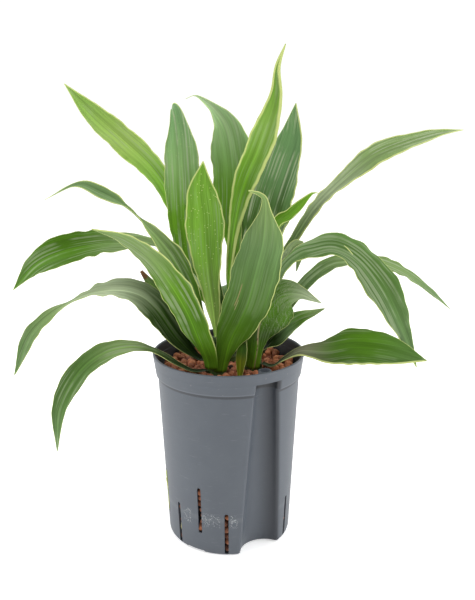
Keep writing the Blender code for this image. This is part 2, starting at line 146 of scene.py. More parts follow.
class Finish:
    """One material: its shader's own values, and the nodes that vary some of them over the surface."""

    def __init__(self, name, **uniform):
        self.material = bpy.data.materials.new(name)
        self.material.use_nodes = True
        self.tree = self.material.node_tree
        self.shader = self.tree.nodes["Principled BSDF"]
        self.give(**uniform)

    def join(self, value, socket):
        """Link a wire to a socket, or set the socket's own value."""
        if isinstance(value, Wire):
            self.tree.links.new(value.socket, socket)
        elif socket.type == "RGBA":
            socket.default_value = (*value, 1.0)
        else:
            socket.default_value = value

    def node(self, kind, settings, sockets, out=0):
        """Add a node: its settings first, then the values or links of its sockets."""
        made = self.tree.nodes.new("ShaderNode" + kind)
        for setting, value in settings.items():
            setattr(made, setting, value)
        for socket, value in sockets.items():
            self.join(value, made.inputs[socket])
        return Wire(self, made.outputs[out])

    def give(self, **values):
        """Set or link the shader's sockets, such as Base_Color."""
        for name, value in values.items():
            self.join(value, self.shader.inputs[name.replace("_", " ")])

    def place(self):
        """Where a point of the surface lies, in millimetres."""
        return self.scale(self.node("TexCoord", {}, {}, "Object"), 1 / MM)

    def attribute(self, name, out):
        """A value that the mesh itself carries."""
        return self.node("Attribute", {"attribute_name": name}, {}, out)

    def split(self, vector):
        whole = self.node("SeparateXYZ", {}, {0: vector})
        return whole, whole.out("Y"), whole.out("Z")

    def vector(self, x, y, z):
        return self.node("CombineXYZ", {}, {0: x, 1: y, 2: z})

    def scale(self, vector, gain):
        """A vector or a colour times a gain."""
        return self.node("VectorMath", {"operation": "SCALE"}, {0: vector, 3: gain})

    def noise(self, vector, scale, detail=2.0, distortion=0.0):
        return self.node("TexNoise", {}, {"Vector": vector, "Scale": scale, "Detail": detail,
                                          "Distortion": distortion})

    def cells(self, vector, scale):
        """The distance to the nearest of many scattered points."""
        return self.node("TexVoronoi", {}, {"Vector": vector, "Scale": scale}, "Distance")

    def blend(self, factor, first, second):
        return self.node("Mix", {"data_type": "RGBA"}, {0: factor, 6: first, 7: second}, 2)

    def relief(self, height, depth, strength):
        """Bump the surface with a height of 0 to 1, which stands for a depth in millimetres."""
        self.give(Normal=self.node("Bump", {}, {"Strength": strength, "Distance": depth * MM,
                                                "Height": height}))


def turn(points, azimuth):
    """Turn points about the pot's axis."""
    angle = radians(azimuth)
    flat = np.array(((cos(angle), sin(angle), 0), (-sin(angle), cos(angle), 0), (0, 0, 1)))
    return np.asarray(points, float) @ flat


def circle(x, y, radius, z, sides):
    """A level ring of points round an upright axis."""
    angles = np.linspace(0, 2 * pi, sides, endpoint=False)
    return np.column_stack((x + radius * np.cos(angles), y + radius * np.sin(angles), np.full(sides, z)))


def skin(name, rings):
    """A closed mesh through rings of points in millimetres, with a fan over each end ring."""
    count, around = len(rings), len(rings[0])
    ends = [rings[0].mean(axis=0), rings[-1].mean(axis=0)]
    places = np.concatenate((np.reshape(rings, (-1, 3)), ends)) * MM
    faces = []
    for k in range(around):
        after = (k + 1) % around
        for i in range(count - 1):
            low, high = i * around, (i + 1) * around
            faces.append((low + k, low + after, high + after, high + k))
        last = (count - 1) * around
        faces.append((count * around, after, k))
        faces.append((count * around + 1, last + k, last + after))
    mesh = bpy.data.meshes.new(name)
    mesh.from_pydata(places.tolist(), [], faces)
    bm = bmesh.new()
    bm.from_mesh(mesh)
    bmesh.ops.recalc_face_normals(bm, faces=bm.faces[:])
    bm.to_mesh(mesh)
    bm.free()
    mesh.shade_smooth()
    return mesh


def merge(name, meshes):
    """One mesh that holds several."""
    whole = bpy.data.meshes.new(name)
    bm = bmesh.new()
    for mesh in meshes:
        bm.from_mesh(mesh)
    bm.to_mesh(whole)
    bm.free()
    return whole


def show(name, mesh, finish=None):
    """Link a mesh to the scene as a named object."""
    piece = bpy.data.objects.new(name, mesh)
    bpy.context.scene.collection.objects.link(piece)
    if finish:
        mesh.materials.append(finish.material)
    return piece


def carve(body, operation, mesh):
    """Apply a Boolean of one mesh to a body."""
    tool = show("tool", mesh)
    boolean = body.modifiers.new("Carve", "BOOLEAN")
    boolean.operation = operation
    boolean.solver = "EXACT"
    boolean.object = tool
    bpy.context.view_layer.update()
    body.data = bpy.data.meshes.new_from_object(body.evaluated_get(bpy.context.evaluated_depsgraph_get()))
    body.modifiers.clear()
    bpy.data.objects.remove(tool)


def groove_radius(z):
    return GROOVE_RADII[0] - GROOVE_TAPER * z


def between(low, high, z):
    """The radius at a height on the straight line through two (radius, height) points."""
    return low[0] + (high[0] - low[0]) * (z - low[1]) / (high[1] - low[1])


def bow(centre, radius, start, end, steps):
    """Points round an arc, from just after its start."""
    angle = np.linspace(start, end, steps + 1)[1:, None]
    return np.array(centre) + radius * np.concatenate((np.cos(angle), np.sin(angle)), axis=1)


def plan(wall, groove, z, edge=EDGE_OUTSIDE, scale=1.0):
    """The pot's outline at one height. Without a groove it goes round as a plain circle."""
    inner = wall - edge
    outer = (groove or GROOVE_RADII[1]) + edge
    corner = acos((inner ** 2 + GROOVE_DISTANCE ** 2 - outer ** 2) / (2 * inner * GROOVE_DISTANCE))
    side = bow((0, 0), wall, pi, corner, WALL_STEPS)
    if groove:
        centre = np.array((inner * cos(corner), inner * sin(corner)))
        facing = atan2(centre[1], centre[0] - GROOVE_DISTANCE)
        rest = (bow(centre, edge, corner, facing - pi, CORNER_STEPS),
                bow((GROOVE_DISTANCE, 0), groove, facing, pi, GROOVE_STEPS))
    else:
        rest = (bow((0, 0), wall, corner, 0, CORNER_STEPS + GROOVE_STEPS),)
    half = np.concatenate((((-wall, 0),), side, *rest))
    whole = np.concatenate((half, half[-2:0:-1] * (1, -1))) * scale
    return turn(np.column_stack((whole, np.full(len(whole), z))), GROOVE_AZIMUTH)


def outside_plans():
    """Outlines from under the base, up the wall, over the groove's ceiling and onto the rim."""
    foot = FOOT_RADIUS - FOOT_ROUND
    for scale in (0.3, 0.65, 0.9):
        yield plan(foot, GROOVE_RADII[0] + FOOT_ROUND, 0, scale=scale)
    for angle in np.radians((0, 22, 45, 68, 90)):
        inset = FOOT_ROUND * (1 - sin(angle))
        yield plan(FOOT_RADIUS - inset, GROOVE_RADII[0] + inset, FOOT_ROUND * (1 - cos(angle)))
    for z in np.linspace(FOOT_ROUND, NECK[1], 24)[1:]:
        yield plan(between((FOOT_RADIUS, FOOT_ROUND), NECK, z), groove_radius(z), z)
    for wall, z in BAND_STEP:
        yield plan(wall, groove_radius(z), z)
    for z in (171.5, 174, 176.5, 178.4):
        yield plan(between(BAND_FOOT, RIM, z), groove_radius(z), z)
    ceiling = between(BAND_FOOT, RIM, GROOVE_TOP)
    yield plan(ceiling, GROOVE_RADII[1] - 0.4, GROOVE_TOP)
    for rise in (0.05, 0.6):
        yield plan(ceiling, None, GROOVE_TOP + rise)
    for z in (182, 185, 187.5, 188.8):
        yield plan(between(BAND_FOOT, RIM, z), None, z)
    for wall, z in RIM_LIP:
        yield plan(wall, None, z)


def inside_plans():
    """Outlines from the mouth down to the floor."""
    for wall, z in MOUTH_LIP:
        yield plan(wall, None, z, EDGE_INSIDE)
    for z in (186, 183, 181.3, 180.8):
        yield plan(between(INNER_LEDGE, MOUTH, z), None, z, EDGE_INSIDE)
    ledge = GROOVE_TOP + WALL
    wall = between(INNER_LEDGE, MOUTH, ledge)
    yield plan(wall - 0.4, None, ledge, EDGE_INSIDE)
    yield plan(wall, GROOVE_RADII[1] + WALL - 0.5, ledge, EDGE_INSIDE)
    for z in (180.0, 176.0, 171.0):
        yield plan(between(INNER_LEDGE, MOUTH, z), groove_radius(z) + WALL, z, EDGE_INSIDE)
    for z in np.linspace(INNER_NECK[1], INNER_FOOT[1], 20):
        yield plan(between(INNER_FOOT, INNER_NECK, z), groove_radius(z) + WALL, z, EDGE_INSIDE)
    for angle in np.radians((30, 60, 90)):
        shrink = FOOT_ROUND * (1 - cos(angle))
        z = INNER_FOOT[1] - FOOT_ROUND * sin(angle)
        yield plan(INNER_FOOT[0] - shrink, groove_radius(z) + WALL + shrink, z, EDGE_INSIDE)
    foot, groove = INNER_FOOT[0] - FOOT_ROUND, GROOVE_RADII[0] + WALL + FOOT_ROUND
    for scale in (0.9, 0.6, 0.3):
        yield plan(foot, groove, FLOOR, EDGE_INSIDE, scale)


def prism(outline, reaches, azimuth):
    """Rings of a straight prism that runs out along an azimuth, for an outline of (sideways, height)."""
    across = np.array(outline)
    return [turn(np.column_stack((np.full(len(across), reach), across)), azimuth) for reach in reaches]


def slot_outline(bottom, top):
    half = SLOT_WIDTH / 2
    arch = bow((0, top - half), half, 0, pi, 8)
    return np.concatenate((((-half, bottom), (half, bottom), (half, top - half)), arch))


pot = show("pot_moulding", skin("pot_moulding", [*outside_plans(), *inside_plans()]))
collar = [turn(circle(COLLAR_DISTANCE, 0, radius, z, COLLAR_SIDES), GROOVE_AZIMUTH)
          for radius, z in ((COLLAR_RADIUS, GROOVE_TOP + WALL / 2), (COLLAR_RADIUS, COLLAR_TOP - 0.5),
                            (COLLAR_RADIUS - 0.15, COLLAR_TOP - 0.15), (COLLAR_RADIUS - 0.5, COLLAR_TOP))]
carve(pot, "UNION", skin("collar", collar))
bore = [turn(circle(COLLAR_DISTANCE, 0, COLLAR_BORE, z, COLLAR_SIDES), GROOVE_AZIMUTH)
        for z in (GROOVE_TOP - 1, COLLAR_TOP + 1)]
slots = [skin("slot", prism(slot_outline(bottom, top), SLOT_REACH, GROOVE_AZIMUTH + angle))
         for angle, bottom, top in SLOTS]
carve(pot, "DIFFERENCE", merge("openings", [skin("bore", bore), *slots]))
# The notches cross some of the slots, and a Boolean wants no overlap in its tool, so each is cut by itself
for angle in NOTCH_ANGLES:
    carve(pot, "DIFFERENCE", skin("notch", prism(NOTCH_OUTLINE, NOTCH_REACH, GROOVE_AZIMUTH + angle)))
pot.data.shade_smooth()
pot.data.set_sharp_from_angle(angle=radians(SHARP_ANGLE))

PLASTIC = ((0.056, 0.067, 0.084), (0.064, 0.076, 0.093))
HAIRLINE = (0.200, 0.215, 0.230)
WATERLINE = 39.0
LIME_FILM = (0.300, 0.310, 0.310)
LIME_CRUST = (0.560, 0.580, 0.580)
LIME_HEIGHT = 37.5
LIME_PATCHES = ((-43, -35), (-25, -7), (3, 10))
LIME_FRONT = (-30, -20)
UNDER_BAND = 167.3
BAND_SHADE = (0.016, 0.019, 0.025)
BAND_EDGE = 170.0
BAND_GLINT = (0.200, 0.215, 0.240)
DUST = (0.250, 0.240, 0.220)
INSIDE_SLOPE = 0.135
INSIDE_REACH = (48.2, 48.8)
INSIDE_SHADE = (0.006, 0.007, 0.008)
GROOVE_SHADE = (0.012, 0.016, 0.024)
CEILING_SHADE = (0.010, 0.011, 0.013)


def from_axis(x, y, axis):
    """How far a point lies from an upright axis."""
    off_x, off_y = x - axis[0], y - axis[1]
    return off_x.maths("SQRT", off_x * off_x + off_y * off_y)


plastic = Finish("pot_plastic_finish", Specular_IOR_Level=0.62)
spot = plastic.place()
pot_x, pot_y, pot_z = plastic.split(spot)
mottle = plastic.noise(spot, 0.045, 4)
tone = plastic.blend(mottle.rise(0.3, 0.7), *PLASTIC)
hairlines = plastic.noise(plastic.vector(pot_x * 0.09, pot_y * 0.09, pot_z * 0.9), 1, 3)
tone = plastic.blend(hairlines.rise(0.62, 0.8) * 0.25, tone, HAIRLINE)

# Lime from the water, in a film round the wall and in crusted wisps between the slots in front
groove_axis = turn((GROOVE_DISTANCE, 0, 0), GROOVE_AZIMUTH)
past_groove = from_axis(pot_x, pot_y, groove_axis) - groove_radius(pot_z)
on_wall = past_groove.rise(0.3, 0.9)
tone = plastic.blend(on_wall * pot_z.near(WATERLINE, 1, 4) * 0.15 * mottle, tone, LIME_FILM)
wisps = plastic.noise(spot, 0.15, 3, 1.5).near(0.5, 0.005, 0.022)
for left, right in LIME_PATCHES:
    half = (right - left) / 2
    patch = pot_z.near(LIME_HEIGHT, 5, 9) * pot_x.near((left + right) / 2, half - 1, half + 1)
    tone = plastic.blend(patch * wisps * pot_y.fall(*LIME_FRONT) * 0.50, tone, LIME_CRUST)

# The step of the band, with a shadow under it and a thin light along its edge, and dust near the rim
tone = plastic.blend(on_wall * pot_z.near(UNDER_BAND, 0.6, 1.7) * 0.8, tone, BAND_SHADE)
tone = plastic.blend(on_wall * pot_z.near(BAND_EDGE, 0.2, 0.8) * 0.2, tone, BAND_GLINT)
dust = plastic.noise(spot, 0.42, 2).rise(0.68, 0.78) * pot_z.rise(150, 186)
tone = plastic.blend(dust * 0.4, tone, DUST)

# Painted shade: the inside of the rim is painted nearly black, apart from the collar, and the groove is
# painted darker towards +X and towards its ceiling
collar_axis = turn((COLLAR_DISTANCE, 0, 0), GROOVE_AZIMUTH)
on_collar = from_axis(pot_x, pot_y, collar_axis).fall(COLLAR_RADIUS + 0.2, COLLAR_RADIUS + 0.5)
inner_side = (from_axis(pot_x, pot_y, (0, 0)) - INSIDE_SLOPE * pot_z).fall(*INSIDE_REACH)
inner_side *= pot_z.rise(168, 171) * pot_z.fall(188.5, 189.3)
inner_side *= 1 - on_collar * pot_z.rise(181.5, 182)
tone = plastic.blend(inner_side * 0.92, tone, INSIDE_SHADE)
in_groove = past_groove.fall(0.3, 6.0) * (1 - inner_side) * pot_z.fall(178.6, 179.2)
rightwards = pot_x - groove_axis[0]
tone = plastic.blend(in_groove * rightwards.rise(-12, 12), tone, GROOVE_SHADE)
under_ceiling = in_groove * pot_z.rise(166, 178) * rightwards.rise(-12, 2)
tone = plastic.blend(under_ceiling * 0.9, tone, CEILING_SHADE)
plastic.give(Base_Color=tone, Roughness=0.44 + 0.16 * mottle)
plastic.relief(plastic.noise(spot, 1.6, 2), 0.2, 0.25)
pot.data.materials.clear()
pot.data.materials.append(plastic.material)
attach(pot, "root")
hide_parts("pot")


# Granulate: fired clay pebbles, 5 to 10 mm across, poured in round the roots to 15 mm below the rim. They
# lie on each other at the top and press against the inside of the wall, where the slots show them.

STEM_AXES = {"a": (-11.0, -20.0), "b": (0.0, 18.0), "c": (24.0, -8.0), "young": (11.5, -33.0)}
STEM_CLEAR = {"a": 9.4, "b": 9.4, "c": 9.4, "young": 2.6}
# Each layer's height, least distance between centres, and number of tries
PEBBLE_LAYERS = ((166.8, 6.0, 3000), (172.2, 6.9, 2600))
PEBBLE_RADII = (3.3, 4.8)
LAYER_SCATTER = 1.4
# How many of its own radii a pebble's centre keeps from the wall and from a stem
OFF_WALL = 1.2
OFF_STEM = 0.7
# A ring of pebbles heaped round each stem, with a gap at the azimuth where a low leaf grows out
HEAP_LEVEL = 174.6
HEAP_RADII = (2.9, 3.8)
HEAP_DISTANCES = (15.6, 17.2)
HEAP_SCATTER = (-0.4, 0.6)
HEAP_AZIMUTHS = range(10, 370, 27)
HEAP_GAPS = {"a": 205, "b": 0, "c": 338}
HEAP_GAP_HALF = 20
SLOT_PEBBLE_RADII = (2.6, 3.9)
SLOT_PEBBLE_GAP = 0.1
SLOT_PEBBLE_SWING = 1.8
SLOT_PEBBLE_PRESS = (0.1, 0.7)
# The depths of a pebble's lumps, each with how many waves it has across the pebble
LUMPS = ((0.09, 1.6), (0.06, 2.6), (0.035, 5.0), (0.02, 9.0))
STRETCH = (0.82, 1.12)
CORE_TOP = 165.0
CORE_INSET = 5.5

draw = np.random.default_rng(11)


def inner_wall(z):
    """The pot's inner radius at a height."""
    return between(INNER_FOOT, INNER_NECK, z) if z < INNER_NECK[1] else between(INNER_LEDGE, MOUTH, z)


def has_room(x, y, z, radius):
    """Whether a pebble clears the wall, the groove's bulge and the stems."""
    return (hypot(x, y) < inner_wall(z) - OFF_WALL * radius
            and hypot(x - groove_axis[0], y - groove_axis[1]) > groove_radius(z) + WALL + radius
            and all(hypot(x - stem_x, y - stem_y) > STEM_CLEAR[stem] + OFF_STEM * radius
                    for stem, (stem_x, stem_y) in STEM_AXES.items()))


def top_pebbles():
    """Centres and radii of the pebbles in the upper layers."""
    for level, pitch, tries in PEBBLE_LAYERS:
        settled = []
        for x, y in draw.uniform(-INNER_LEDGE[0], INNER_LEDGE[0], (tries, 2)):
            radius = draw.uniform(*PEBBLE_RADII)
            z = level + draw.uniform(-LAYER_SCATTER, LAYER_SCATTER)
            if has_room(x, y, z, radius) and all(hypot(x - a, y - b) > pitch for a, b, *_ in settled):
                settled.append((x, y, z, radius))
        yield from settled


def heaped_pebbles():
    """Centres and radii of the pebbles that lie heaped against the stems."""
    for stem, low_leaf in HEAP_GAPS.items():
        for azimuth in HEAP_AZIMUTHS:
            radius = draw.uniform(*HEAP_RADII)
            distance = draw.uniform(*HEAP_DISTANCES)
            x = STEM_AXES[stem][0] + distance * cos(radians(azimuth))
            y = STEM_AXES[stem][1] + distance * sin(radians(azimuth))
            z = HEAP_LEVEL + draw.uniform(*HEAP_SCATTER)
            if abs(azimuth - low_leaf) > HEAP_GAP_HALF and has_room(x, y, z, radius):
                yield x, y, z, radius


def slot_pebbles():
    """Centres and radii of the pebbles that lie behind the slots."""
    for angle, bottom, top in SLOTS:
        z = bottom + 1
        while z < top + 3:
            radius = draw.uniform(*SLOT_PEBBLE_RADII)
            z += radius
            swing = draw.uniform(-SLOT_PEBBLE_SWING, SLOT_PEBBLE_SWING)
            distance = inner_wall(z) - radius + draw.uniform(*SLOT_PEBBLE_PRESS)
            x, y, _ = turn((distance, swing, 0), GROOVE_AZIMUTH + angle)
            yield x, y, max(z, FLOOR + radius), radius
            z += radius * (1 + SLOT_PEBBLE_GAP)


def pebble_field(spots):
    """One mesh of lumpy pebbles, each with a tint of its own."""
    bm = bmesh.new()
    bmesh.ops.create_icosphere(bm, subdivisions=3, radius=1.0)
    ball = np.array([vert.co[:] for vert in bm.verts])
    corners = np.array([[vert.index for vert in face.verts] for face in bm.faces])
    bm.free()
    places, faces, tints = [], [], []
    for x, y, z, radius in spots:
        lumps = 1 + sum(depth * np.sin(waves * ball @ draw.normal(size=3) + draw.uniform(0, 2 * pi))
                        for depth, waves in LUMPS)
        shape = ball * lumps[:, None] * draw.uniform(*STRETCH, 3) * radius
        spin = np.array(Matrix.Rotation(draw.uniform(0, pi), 3, Vector(draw.normal(size=3))))
        faces.append(corners + len(ball) * len(places))
        places.append(shape @ spin + (x, y, z))
        tints.append(np.full(len(ball), draw.uniform()))
    mesh = bpy.data.meshes.new("pebbles")
    mesh.from_pydata((np.concatenate(places) * MM).tolist(), [], np.concatenate(faces).tolist())
    mesh.attributes.new("tint", "FLOAT", "POINT").data.foreach_set("value", np.concatenate(tints))
    mesh.shade_smooth()
    return mesh


core = [plan(inner_wall(z) - CORE_INSET, groove_radius(z) + WALL + CORE_INSET, z)
        for z in np.linspace(CORE_TOP, FLOOR + 1, 10)]
pebbles = pebble_field([*top_pebbles(), *heaped_pebbles(), *slot_pebbles()])
granulate_mesh = merge("granulate_pebbles", (pebbles, skin("granulate_core", core)))

FIRED = ((0.170, 0.052, 0.022), (0.440, 0.155, 0.070))
OVERFIRED = (0.120, 0.045, 0.030)
GRAIN = (0.450, 0.240, 0.160)
CORE_SHADE = (0.014, 0.008, 0.005)
PORE = (0.045, 0.018, 0.012)
CLAY_DUST = (0.480, 0.310, 0.230)

# The core has tint 0 and is painted nearly black, as painted shade in the gaps between the pebbles. The
# pebbles are painted lighter from the slots up, most of all in front, as painted light and shade
clay = Finish("clay_granulate_finish")
spot = clay.place()
_, clay_y, clay_z = clay.split(spot)
tint = clay.attribute("tint", "Fac")
grain = clay.noise(spot, 0.9, 4)
pores = clay.cells(spot, 1.5)
fired = clay.blend(tint.rise(0.05, 0.95), *FIRED)
fired = clay.blend(tint.fall(0.04, 0.14) * 0.7, fired, OVERFIRED)
fired = clay.blend(grain.rise(0.45, 0.70) * 0.4, fired, GRAIN)
fired = clay.blend(tint.fall(0.001, 0.010), fired, CORE_SHADE)
fired = clay.blend(pores.fall(0.05, 0.25) * 0.6, fired, PORE)
# painted light and shade: the low pebbles behind the slots darker, the top ones in front lighter
fired = clay.scale(fired, 0.75 + (1.35 - 0.85 * clay_y.rise(-62, -30)) * clay_z.rise(120, 160))
fired = clay.blend(clay.noise(spot, 0.25, 3).rise(0.55, 0.75) * 0.15, fired, CLAY_DUST)
clay.give(Base_Color=fired, Roughness=0.93)
clay.relief(grain + 0.6 * pores, 0.6, 0.6)
granulate = show("granulate_pebbles", granulate_mesh, clay)
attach(granulate, "root")
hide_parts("granulate")


# Rootlets: yellow-green tips of the plant's own roots, which have grown along the inside of the wall and
# show in the slots.

# Each rootlet's slot, lowest and highest point, radius, and how far it stands out from the wall's inside
ROOTLETS = ((3, 24, 69, 0.75, 1.3), (3, 30, 60, 0.6, 1.7), (3, 40, 68, 0.55, 1.5), (4, 8, 30, 0.6, 0),
            (7, 28, 52, 0.65, 0), (2, 6, 22, 0.5, 0), (9, 26, 66, 0.7, 0), (12, 12, 40, 0.6, 0))
ROOTLET_SIDES = 8
ROOTLET_STATIONS = 26
ROOTLET_GREEN = (0.330, 0.390, 0.090)
ROOTLET_YELLOW = (0.560, 0.520, 0.220)


def rootlet_rings(slot, bottom, top, radius, out):
    """Rings round a root tip that wanders up behind a slot."""
    bends = draw.uniform(0, 2 * pi, 3)
    for s in np.linspace(0, 1, ROOTLET_STATIONS):
        z = bottom + (top - bottom) * s
        sideways = 1.1 * sin(5 * s + bends[0]) + 0.4 * sin(13 * s + bends[1])
        reach = inner_wall(z) + out + 0.5 * sin(4 * s + bends[2])
        fine = radius * (0.35 + 0.65 * sin(pi * min(1, 0.06 + 1.4 * s) / 2))
        yield turn(circle(reach, sideways, fine, z, ROOTLET_SIDES), GROOVE_AZIMUTH + SLOTS[slot][0])


rootlet_mesh = merge("rootlets", [skin("rootlet", [*rootlet_rings(*rootlet)]) for rootlet in ROOTLETS])
rootlet_mesh.shade_smooth()

root_skin = Finish("rootlet_finish", Roughness=0.55)
spot = root_skin.place()
patches = root_skin.noise(spot, 0.16, 3).rise(0.35, 0.65)
root_skin.give(Base_Color=root_skin.blend(patches, ROOTLET_GREEN, ROOTLET_YELLOW))
root_skin.relief(root_skin.noise(spot, 1.4, 2), 0.3, 0.5)
rootlets = show("rootlets", rootlet_mesh, root_skin)
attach(rootlets, "root")


# Stems: three short green canes, ringed by the scars of fallen leaves. Their feet stand in the granulate,
# and the leaf bases wrap what shows of them.

STEM_TOPS = {"a": 209.2, "b": 237.2, "c": 221.2}
STEM_FOOT = 80.0
STEM_RADIUS = 9.2
STEM_SIDES = 48
ROOT_LEVEL = 178.0
ROOT_RADIUS = 10.0
ROOT_TAPER = 0.09
BLADE_THICKNESS = 0.8
GAP = 0.4
SCAR_PITCH = 4.6
SCAR_DEPTH = 0.2
CANE = ((0.022, 0.055, 0.005), (0.060, 0.115, 0.014))
SCAR = (0.090, 0.085, 0.030)


def root_radius(z):
    """The cone that the leaf roots lie on, about each stem's axis."""
    return ROOT_RADIUS - ROOT_TAPER * (z - ROOT_LEVEL)


def cane_rings(axis, top):
    """Rings up a stem, which stays clear inside the cone of the leaf roots, and is a little ribbed."""
    clear = GAP + BLADE_THICKNESS / 2
    foot = np.linspace(STEM_FOOT, ROOT_LEVEL - 8, 12)
    for z in np.concatenate((foot, np.arange(ROOT_LEVEL, top), [top])):
        radius = STEM_RADIUS if z < ROOT_LEVEL else root_radius(z) - clear
        radius -= SCAR_DEPTH * (0.5 - 0.5 * cos(2 * pi * z / SCAR_PITCH)) ** 3
        yield circle(*axis, radius, z, STEM_SIDES)


bark = Finish("stem_finish", Roughness=0.62)
bark_x, bark_y, bark_z = bark.split(bark.place())
fibres = bark.noise(bark.vector(bark_x * 0.7, bark_y * 0.7, bark_z * 0.06), 1, 3)
scars = bark_z.maths("COSINE", bark_z * (2 * pi / SCAR_PITCH))
cane = bark.blend(fibres.rise(0.35, 0.65), *CANE)
bark.give(Base_Color=bark.blend(scars.rise(0.80, 0.99) * 0.4, cane, SCAR))
bark.relief(fibres + 0.5 * scars, 0.5, 0.5)
for name, top in STEM_TOPS.items():
    stem = show(f"stem_{name}_cane", skin(f"stem_{name}_cane", [*cane_rings(STEM_AXES[name], top)]), bark)
    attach(stem, "root")
    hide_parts(f"stem_{name}")


# Leaves: long arching blades that clasp the stem, with fine parallel veins, a sunken midrib and cream
# margins. Each has its own curve and twist, and its own dark, bright and greyed tones, which partly hold
# painted shade and painted sheen.

LEAF_CUP = 22.0
CLASP_LENGTH = 24.0
LEAST_WIDTH = 0.9
LEAST_ARC_RADIUS = 4.0
STATION_SPACING = 2.8
LEAST_STATIONS = 24
PATH_SAMPLES = 24
ACROSS = 20
MARGIN_WAVE = 1.5
WAVE_LENGTH = 75.0
SIDE_SHIFT = 0.31
LEAF_SHIFT = 0.17
RIPPLE = 1.2
RIPPLE_LENGTH = 23.0
RIPPLE_SHIFT = 0.4
NIBBLE = 0.03
NIBBLE_LENGTH = 37.0
FOLD = 0.16
PLEAT = 0.16
PLEAT_PITCH = 3.3
FURROW = 0.35
FURROW_WIDTH = 1.3
KEEL = 1.4
MARGIN_THINNING = 0.65
TIP_THINNING = 0.5

Leaf = namedtuple("Leaf", "name stem root azimuths arc widths rolls cups start",
                  defaults=((LEAF_CUP,), None))
Look = namedtuple("Look", "tones margin bloom tip specks scuffs gloss",
                  defaults=((0.35, 0.35), 0.3, None, 0, 0, 0.36))

